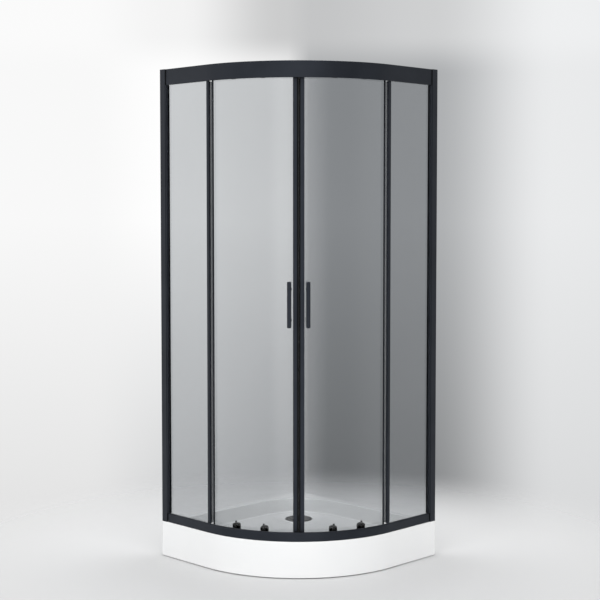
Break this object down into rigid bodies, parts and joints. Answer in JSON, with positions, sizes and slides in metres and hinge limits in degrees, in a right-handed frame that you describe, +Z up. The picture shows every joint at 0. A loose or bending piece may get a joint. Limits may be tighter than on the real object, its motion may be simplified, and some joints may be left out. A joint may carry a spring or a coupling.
{
  "type": "corner shower enclosure",
  "caption": "Quarter-round corner shower enclosure: raised white tray, dark frame, tinted glass, curved double sliding doors on rollers, waste trap and levelling feet.",
  "frame": {"origin": "on the floor at the centre of the square footprint", "axes": "+Z up; the room's walls are at +X and +Y, and the rounded front with the doors faces -X and -Y"},
  "size_m": [0.8, 0.8, 2],
  "materials": {
    "tray_white": "gloss white acrylic",
    "tray_board": "raw chipboard",
    "leg_steel": "zinc plated",
    "foot_plastic": "moulded black",
    "waste_steel": "dark satin steel",
    "black_rubber": "matt black rubber",
    "trap_plastic": "moulded white",
    "dark_aluminium": "satin dark coat",
    "black_plastic": "moulded black",
    "screw_steel": "satin steel",
    "hanger_steel": "blackened steel",
    "tinted_glass": "grey tinted, polished",
    "clear_seal": "clear soft strip",
    "magnet_rubber": "satin black strip",
    "wheel_plastic": "moulded dark nylon"
  },
  "bodies": {
    "enclosure": {"shower_tray": "tray_white", "tray_board": "tray_board", "bottom_rail": "dark_aluminium", "top_rail": "dark_aluminium", "leg_plates": "leg_steel", "leg_rods": "leg_steel", "leg_lock_nuts": "leg_steel", "foot_pads": "foot_plastic", "waste_flange": "waste_steel", "waste_gasket": "black_rubber", "trap_body": "trap_plastic", "rail_end_blocks": "black_plastic", "rail_screws": "screw_steel", "post_screws": "screw_steel", "door_stops": "black_rubber", "left_wall_channel": "dark_aluminium", "left_side_post": "dark_aluminium", "left_fixed_glass": "tinted_glass", "left_glass_gasket": "black_rubber", "left_fixed_stile": "dark_aluminium", "right_wall_channel": "dark_aluminium", "right_side_post": "dark_aluminium", "right_fixed_glass": "tinted_glass", "right_glass_gasket": "black_rubber", "right_fixed_stile": "dark_aluminium"},
    "drain_cover": {"drain_cover": "waste_steel", "trap_insert": "trap_plastic"},
    "left_door": {"left_door_glass": "tinted_glass", "left_overlap_stile": "dark_aluminium", "left_overlap_seal": "clear_seal", "left_meeting_stile": "dark_aluminium", "left_magnet_strip": "magnet_rubber", "left_handle": "dark_aluminium", "left_handle_screws": "screw_steel", "left_top_hangers": "hanger_steel", "left_bottom_carriers": "black_plastic", "left_roller_fixings": "hanger_steel"},
    "left_top_wheel_lead": {"left_top_wheel_lead": "wheel_plastic"},
    "left_bottom_wheel_lead": {"left_bottom_wheel_lead": "wheel_plastic"},
    "left_release_button_lead": {"left_release_button_lead": "black_plastic"},
    "left_top_wheel_rear": {"left_top_wheel_rear": "wheel_plastic"},
    "left_bottom_wheel_rear": {"left_bottom_wheel_rear": "wheel_plastic"},
    "left_release_button_rear": {"left_release_button_rear": "black_plastic"},
    "right_door": {"right_door_glass": "tinted_glass", "right_overlap_stile": "dark_aluminium", "right_overlap_seal": "clear_seal", "right_meeting_stile": "dark_aluminium", "right_magnet_strip": "magnet_rubber", "right_handle": "dark_aluminium", "right_handle_screws": "screw_steel", "right_top_hangers": "hanger_steel", "right_bottom_carriers": "black_plastic", "right_roller_fixings": "hanger_steel"},
    "right_top_wheel_lead": {"right_top_wheel_lead": "wheel_plastic"},
    "right_bottom_wheel_lead": {"right_bottom_wheel_lead": "wheel_plastic"},
    "right_release_button_lead": {"right_release_button_lead": "black_plastic"},
    "right_top_wheel_rear": {"right_top_wheel_rear": "wheel_plastic"},
    "right_bottom_wheel_rear": {"right_bottom_wheel_rear": "wheel_plastic"},
    "right_release_button_rear": {"right_release_button_rear": "black_plastic"}
  },
  "joints": [
    {"name": "drain_cover_lift", "type": "slide", "parent": "enclosure", "child": "drain_cover", "axis": [0, 0, 1], "range_m": [0, 0.08]},
    {"name": "left_door_travel", "type": "hinge", "parent": "enclosure", "child": "left_door", "pos_m": [0.2085, 0.1375, 0], "axis": [0, 0, -1], "range_deg": [0, 21.4]},
    {"name": "left_top_wheel_lead_spin", "type": "hinge", "parent": "left_door", "child": "left_top_wheel_lead", "pos_m": [-0.33808, 0.00623, 1.9789], "axis": [-0.9724, -0.2334, 0], "continuous": true},
    {"name": "left_bottom_wheel_lead_spin", "type": "hinge", "parent": "left_door", "child": "left_bottom_wheel_lead", "pos_m": [-0.33808, 0.00623, 0.1583], "axis": [-0.9724, -0.2334, 0], "continuous": true},
    {"name": "left_release_button_lead_press", "type": "slide", "parent": "left_door", "child": "left_release_button_lead", "axis": [0, 0, -1], "range_m": [0, 0.0025], "stiffness_N_per_m": 400},
    {"name": "left_top_wheel_rear_spin", "type": "hinge", "parent": "left_door", "child": "left_top_wheel_rear", "pos_m": [-0.29487, -0.10662, 1.9789], "axis": [-0.8796, -0.4756, 0], "continuous": true},
    {"name": "left_bottom_wheel_rear_spin", "type": "hinge", "parent": "left_door", "child": "left_bottom_wheel_rear", "pos_m": [-0.29487, -0.10662, 0.1583], "axis": [-0.8796, -0.4756, 0], "continuous": true},
    {"name": "left_release_button_rear_press", "type": "slide", "parent": "left_door", "child": "left_release_button_rear", "axis": [0, 0, -1], "range_m": [0, 0.0025], "stiffness_N_per_m": 400},
    {"name": "right_door_travel", "type": "hinge", "parent": "enclosure", "child": "right_door", "pos_m": [0.1375, 0.2085, 0], "axis": [0, 0, 1], "range_deg": [0, 21.4]},
    {"name": "right_top_wheel_lead_spin", "type": "hinge", "parent": "right_door", "child": "right_top_wheel_lead", "pos_m": [0.00623, -0.33808, 1.9789], "axis": [0.2334, 0.9724, 0], "continuous": true},
    {"name": "right_bottom_wheel_lead_spin", "type": "hinge", "parent": "right_door", "child": "right_bottom_wheel_lead", "pos_m": [0.00623, -0.33808, 0.1583], "axis": [0.2334, 0.9724, 0], "continuous": true},
    {"name": "right_release_button_lead_press", "type": "slide", "parent": "right_door", "child": "right_release_button_lead", "axis": [0, 0, -1], "range_m": [0, 0.0025], "stiffness_N_per_m": 400},
    {"name": "right_top_wheel_rear_spin", "type": "hinge", "parent": "right_door", "child": "right_top_wheel_rear", "pos_m": [-0.10662, -0.29487, 1.9789], "axis": [0.4756, 0.8796, 0], "continuous": true},
    {"name": "right_bottom_wheel_rear_spin", "type": "hinge", "parent": "right_door", "child": "right_bottom_wheel_rear", "pos_m": [-0.10662, -0.29487, 0.1583], "axis": [0.4756, 0.8796, 0], "continuous": true},
    {"name": "right_release_button_rear_press", "type": "slide", "parent": "right_door", "child": "right_release_button_rear", "axis": [0, 0, -1], "range_m": [0, 0.0025], "stiffness_N_per_m": 400}
  ],
  "couplings": [
    {"joint": "left_top_wheel_lead_spin", "follows": "left_door_travel", "ratio": 51.102},
    {"joint": "left_bottom_wheel_lead_spin", "follows": "left_door_travel", "ratio": 51.102},
    {"joint": "left_top_wheel_rear_spin", "follows": "left_door_travel", "ratio": 50.858},
    {"joint": "left_bottom_wheel_rear_spin", "follows": "left_door_travel", "ratio": 50.858},
    {"joint": "right_top_wheel_lead_spin", "follows": "right_door_travel", "ratio": 51.102},
    {"joint": "right_bottom_wheel_lead_spin", "follows": "right_door_travel", "ratio": 51.102},
    {"joint": "right_top_wheel_rear_spin", "follows": "right_door_travel", "ratio": 50.858},
    {"joint": "right_bottom_wheel_rear_spin", "follows": "right_door_travel", "ratio": 50.858}
  ]
}
